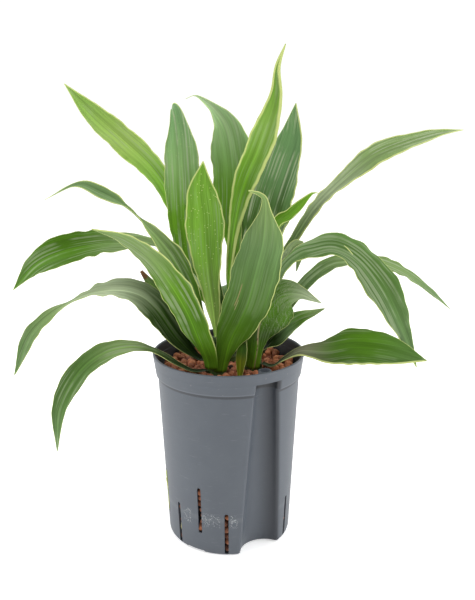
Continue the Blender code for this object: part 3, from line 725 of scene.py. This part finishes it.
# A leaf's path starts at its root height on the stem and goes through points of its arc, which are
# (reach from the stem's axis, height), while its azimuth swings. Widths, rolls and cups run from root
# to tip. A roll lifts the edge on the left, looking along the leaf, and a start puts the root off the cone.
LEAVES = (
    # Stem a, in front and to the left
    Leaf("leaf_a1", "a", 177, (205, 208, 205),
         ((25, 179), (41, 189), (63, 205), (88, 213), (114, 209), (135, 193), (152, 163), (156, 122)),
         (8, 8, 9, 18, 20, 12, 1), (-10, -35, -40, -50, -55, -60, -60)),
    Leaf("leaf_a2", "a", 185, (160, 175, 190, 195),
         ((20, 187), (40, 208), (59, 238), (76, 253), (102, 258), (133, 251), (168, 226), (187, 188)),
         (10, 18, 26, 31, 25, 12, 15, 14, 1), (0, -45, -50, -45, -25, 0, -35, -50, -60)),
    Leaf("leaf_a3", "a", 181, (238, 234, 226, 220, 215),
         ((15, 192), (27, 216), (38, 242), (54, 270), (72, 295), (96, 314), (121, 324)),
         (17, 26, 28, 28, 21, 12, 1), (0, 30, 45, 50, 45), start=12.8),
    Leaf("leaf_a4", "a", 200, (186, 190, 190, 182),
         ((14, 219), (25, 256), (37, 283), (52, 305), (79, 334), (104, 349), (124, 355), (155, 341)),
         (10, 16, 20, 22, 17, 9, 14, 8, 1), (0, -45, -60, -60, -40, -8, -50, -25, -10)),
    Leaf("leaf_a5", "a", 194, (140, 150, 165),
         ((28, 205), (48, 225), (64, 248), (76, 270)),
         (8, 13, 15, 12, 3), (0, -40, -60)),
    Leaf("leaf_a6", "a", 210, (150,),
         ((4, 239), (9, 274), (11, 300), (12, 326), (15, 350), (13, 375)),
         (10, 14, 21, 31, 37, 27, 1), (-50, -60, -60), start=1),
    Leaf("leaf_a7", "a", 177, (303, 308, 310, 310, 310, 310, 310, 306, 300),
         ((13, 190), (21, 211), (35, 233), (48, 256), (59, 287), (67, 311), (70, 343), (69, 351),
          (60, 354)),
         (16, 21, 36, 42, 43, 42, 33, 9, 1), (-30, -40, -40, -40, -40, -40, -70)),
    # Stem b, behind
    Leaf("leaf_b1", "b", 204, (145, 150, 152),
         ((38, 279), (65, 328), (90, 362), (126, 390), (162, 416), (200, 449)),
         (10, 14, 18, 20, 29, 24, 1), (-30, -50, -50, -45)),
    Leaf("leaf_b2", "b", 190, (215, 202, 190),
         ((36, 260), (77, 298), (107, 301), (130, 300), (161, 293), (185, 280), (207, 255)),
         (10, 12, 12, 20, 33, 26, 1), (0, -30, -10, -30, -55, -50)),
    Leaf("leaf_b3", "b", 216, (172, 172, 172, 172, 172, 168, 160, 150),
         ((25, 240), (39, 270), (44, 315), (45, 355), (47, 393), (51, 415), (57, 424), (65, 423)),
         (10, 14, 20, 27, 33, 36, 32, 16, 2), (-50, -75, -75)),
    Leaf("leaf_b4", "b", 226, (50, 59, 70, 79, 79, 82, 95, 118, 136, 146, 153),
         ((15, 267), (17, 295), (19, 319), (22, 344), (23, 373), (23, 403), (26, 419), (33, 429),
          (40, 434), (47, 431)),
         (8, 11, 19, 33, 41, 38, 13, 1), (10, 25, 20, 15, 5, -10, -10)),
    Leaf("leaf_b5", "b", 238, (350,),
         ((0, 255), (3, 292), (9, 328), (17, 356), (29, 384), (39, 412), (45, 435), (46, 458), (53, 478)),
         (8, 8, 14, 24, 25, 11, 1), (80, 95, 95, 90, 95, 85), start=0),
    Leaf("leaf_b6", "b", 187, (98,),
         ((28, 208), (58, 224), (92, 228), (126, 216), (156, 190), (174, 160)),
         (12, 14, 22, 28, 24, 14, 1), (0,)),
    Leaf("leaf_b7", "b", 197, (125, 118, 114),
         ((24, 235), (50, 270), (80, 292), (112, 296), (142, 280), (163, 252)),
         (10, 14, 20, 24, 20, 12, 1), (0, 10, 10)),
    Leaf("leaf_b8", "b", 210, (30, 55, 72),
         ((20, 255), (40, 300), (62, 340), (92, 368), (125, 375), (152, 360)),
         (8, 10, 20, 28, 26, 14, 1), (0, -10, -20)),
    # Stem c, to the right
    Leaf("leaf_c1", "c", 222.4, (150, 96, 79, 72, 65, 57, 50, 46),
         ((18, 265), (31, 297), (40, 323), (45, 345), (50, 369), (56, 395), (58, 427)),
         (5, 11, 36, 47, 41, 26, 1), (15, 24, 24, 24, 30), (14,), start=3),
    Leaf("leaf_c2", "c", 200, (30, 28, 26, 24, 22, 20, 18, 18, 17, 16, 16),
         ((11, 232), (20, 261), (31, 282), (42, 299), (65, 331), (95, 358), (125, 379), (158, 391),
          (189, 399), (215, 402)),
         (7, 7, 9, 13, 18, 22, 15, 1), (0, 10, 50, 30, 25, 45, 55, 45, 35)),
    Leaf("leaf_c3", "c", 212, (54, 44, 38, 31, 22, 19, 18, 17, 16),
         ((11, 257), (13, 279), (17, 297), (26, 313), (38, 322), (48, 332), (58, 343), (64, 344)),
         (6, 10, 16, 25, 26, 16, 1), (0, 10, 20), (30, 50, 62, 62, 40)),
    Leaf("leaf_c4", "c", 195, (326, 332, 338, 342, 344, 346, 348, 349, 346, 345, 345),
         ((14, 231), (21, 256), (30, 277), (43, 290), (56, 295), (77, 298), (99, 286), (122, 260),
          (142, 223), (156, 190)),
         (8, 7, 8, 12, 25, 34, 37, 30, 15, 1), (0, 90, 90, 60, 35, 35, 45, 50, 50, 50)),
    Leaf("leaf_c5", "c", 191, (28, 22, 20),
         ((30, 222), (57, 254), (82, 271), (103, 274), (126, 274), (160, 262), (195, 240), (227, 214)),
         (7, 12, 14, 15, 16, 13, 1), (0, 40, 40, 45, 45)),
    Leaf("leaf_c6", "c", 177, (268, 276, 285, 297, 313, 323, 332, 336, 338),
         ((14, 190), (17, 210), (21, 227), (27, 244), (37, 254), (49, 255), (59, 251), (68, 247)),
         (15, 15, 20, 36, 48, 44, 28, 12, 1), (0, 0, -20, -45, -60, -66, -68)),
    Leaf("leaf_c7", "c", 187, (330, 333, 336, 340, 345, 348),
         ((12, 193), (18, 202), (26, 211), (34, 221), (46, 230), (59, 235), (69, 239)),
         (7, 14, 19, 18, 14, 8, 1), (0, 90, 100, 90, 80)),
    Leaf("leaf_c8", "c", 180, (338,),
         ((21, 179), (33, 188), (50, 198), (75, 201), (100, 208), (130, 209), (166, 204)),
         (8, 7, 14, 31, 35, 25, 1), (10, 50, 55, 55, 50)),
    Leaf("leaf_c9", "c", 218, (356, 356, 356, 355, 352),
         ((14, 240), (22, 264), (31, 286), (37, 296), (43, 299), (44, 290), (41, 273)),
         (4, 5, 8, 11, 10, 8, 1), (0, 90, 90)),
    Leaf("leaf_c10", "c", 180, (56, 74, 80),
         ((24, 220), (46, 248), (74, 264), (106, 264), (140, 242), (168, 206)),
         (8, 12, 22, 28, 24, 14, 1), (0, -10, -10)),
    Leaf("leaf_c11", "c", 196, (100, 96, 92),
         ((24, 212), (54, 244), (88, 262), (122, 258), (150, 236), (166, 204)),
         (8, 12, 22, 26, 22, 12, 1), (0,)),
    # A young leaf that comes up through the granulate
    Leaf("young_leaf", "young", 172.5, (60,),
         ((2, 188), (5, 200), (10, 214)),
         (4, 9, 12, 8, 1), (0,), start=0),
)

# The greens that the leaves share, and each leaf's own look. Its tones are spaced evenly from root to tip,
# and its margins are the widths of cream on its two sides. The leaves at the back share a plain look.
# The tones also hold painted light: INK and DEEP at the roots are partly painted shade, and the pale
# SILVER, FROST and TAUPE tones are mostly painted sheen.
INK = (0.010, 0.026, 0.001)
DEEP = (0.022, 0.058, 0.002)
DARK = (0.038, 0.095, 0.004)
MID = (0.055, 0.140, 0.006)
FRESH = (0.080, 0.190, 0.009)
GRASS = (0.110, 0.255, 0.014)
BRIGHT = (0.158, 0.335, 0.034)
LIME = (0.190, 0.335, 0.058)
LEMON = (0.255, 0.385, 0.080)
OLIVE = (0.130, 0.165, 0.006)
MOSS = (0.066, 0.136, 0.028)
GREYED = (0.104, 0.184, 0.062)
SAGE = (0.160, 0.245, 0.080)
PALE = (0.215, 0.305, 0.115)
SILVER = (0.320, 0.390, 0.230)
CREAM = (0.600, 0.660, 0.240)
FROST = (0.480, 0.560, 0.360)
FADED = (0.235, 0.285, 0.165)
MINT = (0.280, 0.425, 0.200)
JADE = (0.200, 0.340, 0.120)
TEAL = (0.122, 0.235, 0.090)
TAUPE = (0.140, 0.142, 0.088)
BROWN = (0.200, 0.095, 0.045)

PLAIN_LOOK = Look((DEEP, MID, FRESH))
LOOKS = {
    "leaf_a1": Look((INK, INK, SAGE, MOSS, MOSS, GREYED), bloom=0.40),
    "leaf_a2": Look((INK, DEEP, FROST, SAGE, GREYED), (0.3, 0.6), 0.30),
    "leaf_a3": Look((FRESH, MID, FRESH, SAGE, SAGE), (0.5, 1.2), 0.50),
    "leaf_a4": Look((DARK, MID, SAGE, GREYED, GREYED), (1.1, 1.1), 0.40),
    "leaf_a5": Look((INK, DEEP, MID, FRESH, SAGE), bloom=0.15, tip=BROWN),
    "leaf_a6": Look((LEMON, LIME, BRIGHT, BRIGHT, BRIGHT), (1.4, 1.4), 0.25, specks=0.7),
    "leaf_a7": Look((FRESH, DARK, MOSS, GREYED, SAGE), (0.4, 0.9), 0.12, gloss=0.46),
    "leaf_b1": Look((FRESH, GRASS, BRIGHT, LEMON, LIME), (1.4, 0.8), 0.30),
    "leaf_b2": Look((MID, SILVER, SAGE, MID, MID), (0.4, 0.5), 0.40),
    "leaf_b3": Look((FRESH, FRESH, GRASS, JADE, TEAL), (0.8, 0.4), 0.70, specks=0.2),
    "leaf_b4": Look((GRASS, BRIGHT, GRASS, JADE, MINT), (0.7, 0.7), 0.40),
    "leaf_b5": Look((GRASS, BRIGHT, GRASS, LIME, FRESH), (3.4, 2.2), 0.25),
    "leaf_c1": Look((INK, DEEP, MOSS, TEAL, TEAL), (1.5, 0.5), 1.0),
    "leaf_c2": Look((MOSS, SAGE, FADED, SAGE, SAGE), (1.8, 1.0), 0.80),
    "leaf_c3": Look((MID, MID, FRESH, FRESH, GRASS), (1.2, 1.2), 0.10),
    "leaf_c4": Look((MOSS, GREYED, MOSS, MOSS, GREYED), (1.0, 0.4), 0.45),
    "leaf_c5": Look((SAGE, GREYED, SAGE, SAGE, GREYED), bloom=0.60),
    "leaf_c6": Look((GRASS, DEEP, MID, MID, SILVER), bloom=0.20, scuffs=0.6),
    "leaf_c7": Look((INK, INK, GREYED, MID, SAGE), bloom=0.30),
    "leaf_c8": Look((INK, TAUPE, DARK, MID, MOSS), (2.0, 0.4), 0.22),
    "leaf_c9": Look((MOSS, SILVER, PALE), bloom=0.30),
    "young_leaf": Look((OLIVE, OLIVE, DARK, INK), bloom=0),
}

# Healed scratches and a slit. Across and along place the middle of each, slope is how far it slants across
# for each millimetre along, and wide and tall are half its width and half its length.
Mark = namedtuple("Mark", "across along slope wide tall colour")
SCAB = (0.110, 0.030, 0.045)
MARKS = {
    "leaf_a7": (Mark(-9.8, 89, 0.03, 0.55, 15, (0.250, 0.190, 0.090)),
                Mark(-8.6, 78, 0.0, 0.3, 7, (0.300, 0.240, 0.130))),
    "leaf_c4": (Mark(2.4, 152, -0.38, 0.6, 6, CREAM),),
    "leaf_c6": (Mark(-0.9, 40, -0.16, 0.9, 15, (0.420, 0.360, 0.180)),
                Mark(1.5, 13, 0.0, 0.8, 14, (0.360, 0.330, 0.150)),
                Mark(1.3, 22, 0.0, 0.5, 1.5, SCAB),
                Mark(-0.2, 33, 0.0, 0.5, 1.5, SCAB)),
}

TONE_SPREAD = 0.14
TONE_WANDER = 0.12
MARGIN_STRENGTH = 0.75
MARK_STRENGTH = 0.85
SPECK_SCALE = 0.30
TIP_REACH = (0.90, 0.94)


def along(values, t):
    """A smooth curve through evenly spaced values, read at each t from 0 to 1."""
    values = np.asarray(values, float)
    if len(values) == 1:
        return np.full(len(t), values[0])
    values = np.concatenate(([2 * values[0] - values[1]], values, [2 * values[-1] - values[-2]]))
    place = np.clip(t, 0, 1) * (len(values) - 3)
    i = np.minimum(place.astype(int), len(values) - 4)
    u = place - i
    a, b, c, d = (values[i + k] for k in range(4))
    return (2 * b + (c - a) * u + (2 * a - 5 * b + 4 * c - d) * u ** 2
            + (3 * b - a - 3 * c + d) * u ** 3) / 2


def leaf_path(leaf):
    """Points of the midrib at even spacing, with their headings in radians, and its length."""
    start = root_radius(leaf.root) if leaf.start is None else leaf.start
    reach, height = np.array(((start, leaf.root), *leaf.arc), float).T
    places, swings = (np.linspace(0, 1, len(row)) for row in (reach, leaf.azimuths))
    heading = np.radians(np.interp(places, swings, leaf.azimuths))
    x, y = STEM_AXES[leaf.stem]
    knots = np.stack((x + reach * np.cos(heading), y + reach * np.sin(heading), height, heading))
    fine = np.linspace(0, 1, PATH_SAMPLES * len(reach))
    curve = np.stack([along(row, fine) for row in knots])
    run = np.concatenate(([0], np.cumsum(np.linalg.norm(np.diff(curve[:3]), axis=0))))
    even = np.linspace(0, run[-1], max(LEAST_STATIONS, round(run[-1] / STATION_SPACING)))
    return np.stack([np.interp(even, run, row) for row in curve], axis=1), run[-1]


def unit(vectors):
    """Scale each vector to length 1."""
    return vectors / np.linalg.norm(vectors, axis=-1, keepdims=True)


def leaf_surface(leaf):
    """The blade's middle surface as rows of points across it, with t, v, the half widths and the length.

    t runs from 0 at the root to 1 at the tip, and v from -1 to 1 across the blade.
    """
    path, length = leaf_path(leaf)
    midrib, heading = path[:, :3], path[:, 3]
    t = np.linspace(0, 1, len(midrib))[:, None]
    v = np.linspace(-1, 1, ACROSS + 1)[None]
    clasp = np.exp(-(t * length / CLASP_LENGTH) ** 2)
    free = np.sin(np.pi * t) ** 0.7 * (1 - clasp)

    # A frame that rolls along the midrib
    ahead = unit(np.gradient(midrib, axis=0))
    side = np.stack((-np.sin(heading), np.cos(heading), 0 * heading), axis=1)
    side = unit(side - np.sum(side * ahead, axis=1, keepdims=True) * ahead)
    upper = np.cross(ahead, side)
    roll = (1 - clasp) * np.radians(along(leaf.rolls, t[:, 0]))[:, None]
    side, upper = side * np.cos(roll) + upper * np.sin(roll), upper * np.cos(roll) - side * np.sin(roll)

    # An arc across it, tight where the base clasps the stem, with nibbled margins
    half = np.maximum(along(leaf.widths, t[:, 0]), LEAST_WIDTH)[:, None] / 2
    clasp_arc = half[0] / max(root_radius(leaf.root), LEAST_ARC_RADIUS)
    arc = clasp * clasp_arc + (1 - clasp) * np.radians(along(leaf.cups, t[:, 0]))[:, None]
    nibbles = 2 * np.pi * length * t / NIBBLE_LENGTH + leaf.root
    half = half * (1 + NIBBLE * free * (np.sin(nibbles) + 0.6 * np.sin(2.7 * nibbles)))
    sideways = half / arc * np.sin(arc * v)
    raised = half / arc * (1 - np.cos(arc * v))

    # The long wave of the halves, the short uneven ripple of the margins, and the fold at the midrib
    slim = np.minimum(half / 10, 1)
    beat = 2 * np.pi * (length * t / WAVE_LENGTH + SIDE_SHIFT * (v > 0) + LEAF_SHIFT * leaf.root)
    raised += MARGIN_WAVE * slim * np.sin(np.pi * t) * v ** 2 * np.sin(beat)
    flutter = 2 * np.pi * (length * t / RIPPLE_LENGTH + RIPPLE_SHIFT * (v > 0)) + leaf.root
    raised += RIPPLE * slim * free * v ** 4 * np.sin(flutter + 1.7 * np.sin(0.31 * flutter))
    raised += FOLD * half * free * (abs(v) - v ** 2)
    points = midrib[:, None] + side[:, None] * sideways[..., None] + upper[:, None] * raised[..., None]
    return points, t, v, half, length


def leaf_mesh(leaf):
    """The blade as a closed mesh, thick at the midrib and thin at the margins, with shallow pleats.

    Its points carry their place on the blade: across, along and in from the margin in millimetres, and then
    v, t and 1 on the under side.
    """
    points, t, v, half, length = leaf_surface(leaf)
    out = unit(np.cross(np.gradient(points, axis=0), np.gradient(points, axis=1)))
    swell = np.sin(np.pi * np.clip(t, 0.02, 0.98)) ** 0.5
    pleats = PLEAT * swell * (1 - v ** 2) * np.cos(2 * np.pi * v * half / PLEAT_PITCH)
    thick = BLADE_THICKNESS / 2 * (1 - MARGIN_THINNING * v ** 4) * (1 - TIP_THINNING * t ** 3)
    furrow = FURROW * swell * (1 - t) * np.exp(-(v * half / FURROW_WIDTH) ** 2)
    front = points + out * (thick + pleats - furrow)[..., None]
    back = points + out * (pleats - thick - KEEL * furrow)[..., None]
    mesh = skin(leaf.name + "_blade", np.concatenate((front, back[:, ::-1]), axis=1))
    shape = np.stack((v * half, t * length + 0 * v, (1 - abs(v)) * half), axis=-1)
    place = np.stack((v + 0 * t, t + 0 * v, 0 * (t + v)), axis=-1)
    for name, upper, lower in (("blade", shape, shape), ("place", place, place + (0, 0, 1))):
        values = np.concatenate((upper, lower[:, ::-1]), axis=1)
        ends = [values[0].mean(axis=0), values[-1].mean(axis=0)]
        values = np.concatenate((values.reshape(-1, 3), ends))
        mesh.attributes.new(name, "FLOAT_VECTOR", "POINT").data.foreach_set("vector", values.ravel())
    return mesh


def leaf_finish(leaf, look):
    """Waxy green skin, streaked lengthwise, with veins, painted sheen in pale streaks, cream margins and a
    duller back.
    """
    green = Finish(leaf.name + "_finish", Specular_IOR_Level=0.10)
    across, run, edge = green.split(green.attribute("blade", "Vector"))
    v, t, under = green.split(green.attribute("place", "Vector"))
    right_half = v.rise(-0.05, 0.05)
    seed = leaf.root * 0.37

    # Broad patches, then grain by its cells for each millimetre across and along the blade
    broad = green.noise(green.vector(v * 2.6 + seed, t * 1.5, seed), 1, 3)
    streaks = green.noise(green.vector(across * 0.55 + seed, run * 0.008, seed * 2), 1, 3)
    veins = green.noise(green.vector(across * 1.9 + seed, run * 0.010, seed), 1, 2)
    cloud = green.noise(green.vector(across * 0.05 + seed, run * 0.03, seed * 3), 1, 3)

    # The tones from root to tip, lighter along the midrib, with painted light on one half of the blade
    tone = look.tones[0]
    for k, next_tone in enumerate(look.tones[1:], 1):
        middle = k / len(look.tones)
        reached = (t + TONE_WANDER * (broad - 0.5)).rise(middle - TONE_SPREAD, middle + TONE_SPREAD)
        tone = green.blend(reached, tone, next_tone)
    gain = (0.82 + 0.36 * broad.rise(0.30, 0.70)) * (0.91 + 0.22 * veins.rise(0.36, 0.64))
    # painted light: the half with v above 0 lighter than the other, as if the fold's halves caught the
    # light differently
    gain *= 0.92 + 0.16 * v.rise(-0.12, 0.12)
    gain *= 1 + 0.5 * across.near(0, 0.2, 1.0) * (1 - t)
    tone = green.scale(tone, gain)

    # Painted sheen: pale streaks that stand for reflections, and on some leaves pale specks or scuffs
    bloom = streaks.rise(0.47, 0.60) * cloud.rise(0.36, 0.56) * t.rise(0.05, 0.35) * look.bloom
    tone = green.blend(bloom, tone, SILVER)
    if look.specks:
        flecks = green.cells(green.vector(across, run, seed), SPECK_SCALE)
        tone = green.blend(flecks.fall(0.10, 0.16) * look.specks, tone, CREAM)
    if look.scuffs:
        scores = green.noise(green.vector(across * 0.9 + run * 0.5, run * 0.12, seed), 1, 4, 0.8)
        tone = green.blend(scores.near(0.5, 0.008, 0.035) * t.rise(0.25, 0.45) * look.scuffs, tone, FADED)

    # Cream margins of uneven width, then the leaf's own marks and a dry tip
    ragged = 0.5 * (cloud - 0.5) + 0.6 * (broad - 0.5)
    for width, this_half in zip(look.margin, (1 - right_half, right_half)):
        band = (edge + ragged * width).fall(0.60 * width, 1.10 * width)
        tone = green.blend(band * this_half * t.rise(0.02, 0.16) * MARGIN_STRENGTH, tone, CREAM)
    for mark in MARKS.get(leaf.name, ()):
        off = run - mark.along
        here = (across - mark.slope * off).near(mark.across, 0.5 * mark.wide, mark.wide)
        here *= off.near(0, 0.7 * mark.tall, mark.tall)
        tone = green.blend(here * MARK_STRENGTH, tone, mark.colour)
    if look.tip:
        tone = green.blend((t + 0.1 * ragged).rise(*TIP_REACH), tone, look.tip)
    green.give(Base_Color=tone, Roughness=look.gloss + 0.10 * under + 0.20 * streaks)
    green.relief(veins + 0.4 * streaks, 0.3, 0.5)
    return green


for leaf in LEAVES:
    finish = leaf_finish(leaf, LOOKS.get(leaf.name, PLAIN_LOOK))
    blade = show(leaf.name + "_blade", leaf_mesh(leaf), finish)
    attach(blade, "root")
    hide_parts(leaf.name)


# Studio: a plain pale floor under a white surround, with a large soft panel on either side and one
# overhead. The surround gets brighter from the front to the back.

FLOOR_SIZE = 6000.0
PAPER = ((0.950, 0.950, 0.950), (0.980, 0.980, 0.980))
WHITE = (1.0, 1.0, 1.0)
# The surround's strength at two places from front to back on its sphere, given as (Y, strength)
SURROUND = ((-0.7, 0.42), (0.5, 1.08))
PANEL_SIZE = 1200.0
PANEL_AIM = (0, 0, 250)
PANELS = (("left_panel", (-1350, -350, 800), 14.0),
          ("right_panel", (1400, -250, 750), 13.0),
          ("top_panel", (100, 100, 1700), 9.0))
CAMERA_PLACE = (18.0, -656.0, 408.5)
CAMERA_DOWN = 14.3
CAMERA_LEFT = 0.8
LENS = 41.64
SENSOR_WIDTH = 36.0

floor_mesh = bpy.data.meshes.new("studio_floor")
floor_bm = bmesh.new()
bmesh.ops.create_grid(floor_bm, x_segments=2, y_segments=2, size=FLOOR_SIZE * MM)
floor_bm.to_mesh(floor_mesh)
floor_bm.free()
paper = Finish("studio_floor_finish", Roughness=0.9, Emission_Color=WHITE, Emission_Strength=0.4)
paper.give(Base_Color=paper.blend(paper.noise(paper.place(), 0.003, 3), *PAPER))
studio_floor = show("studio_floor", floor_mesh, paper)

world = bpy.data.worlds.new("studio_surround")
world.use_nodes = True
sky = world.node_tree
ways = sky.nodes.new("ShaderNodeTexCoord")
parts = sky.nodes.new("ShaderNodeSeparateXYZ")
strength = sky.nodes.new("ShaderNodeMapRange")
for end, (level, value) in zip(("Min", "Max"), SURROUND):
    strength.inputs["From " + end].default_value = level
    strength.inputs["To " + end].default_value = value
sky.links.new(ways.outputs["Generated"], parts.inputs[0])
sky.links.new(parts.outputs["Y"], strength.inputs["Value"])
sky.links.new(strength.outputs[0], sky.nodes["Background"].inputs["Strength"])
sky.nodes["Background"].inputs["Color"].default_value = (*WHITE, 1.0)
bpy.context.scene.world = world

for name, place, power in PANELS:
    lamp = bpy.data.lights.new(name, "AREA")
    lamp.size = PANEL_SIZE * MM
    lamp.energy = power
    holder = bpy.data.objects.new(name, lamp)
    holder.location = Vector(place) * MM
    holder.rotation_euler = (Vector(PANEL_AIM) - Vector(place)).to_track_quat("-Z", "Y").to_euler()
    bpy.context.scene.collection.objects.link(holder)

camera = bpy.data.cameras.new("camera")
camera.lens = LENS
camera.sensor_width = SENSOR_WIDTH
viewpoint = bpy.data.objects.new("camera", camera)
viewpoint.location = Vector(CAMERA_PLACE) * MM
viewpoint.rotation_euler = (radians(90 - CAMERA_DOWN), 0, radians(CAMERA_LEFT))
bpy.context.scene.collection.objects.link(viewpoint)
bpy.context.scene.camera = viewpoint
bpy.context.scene.view_settings.view_transform = "Standard"
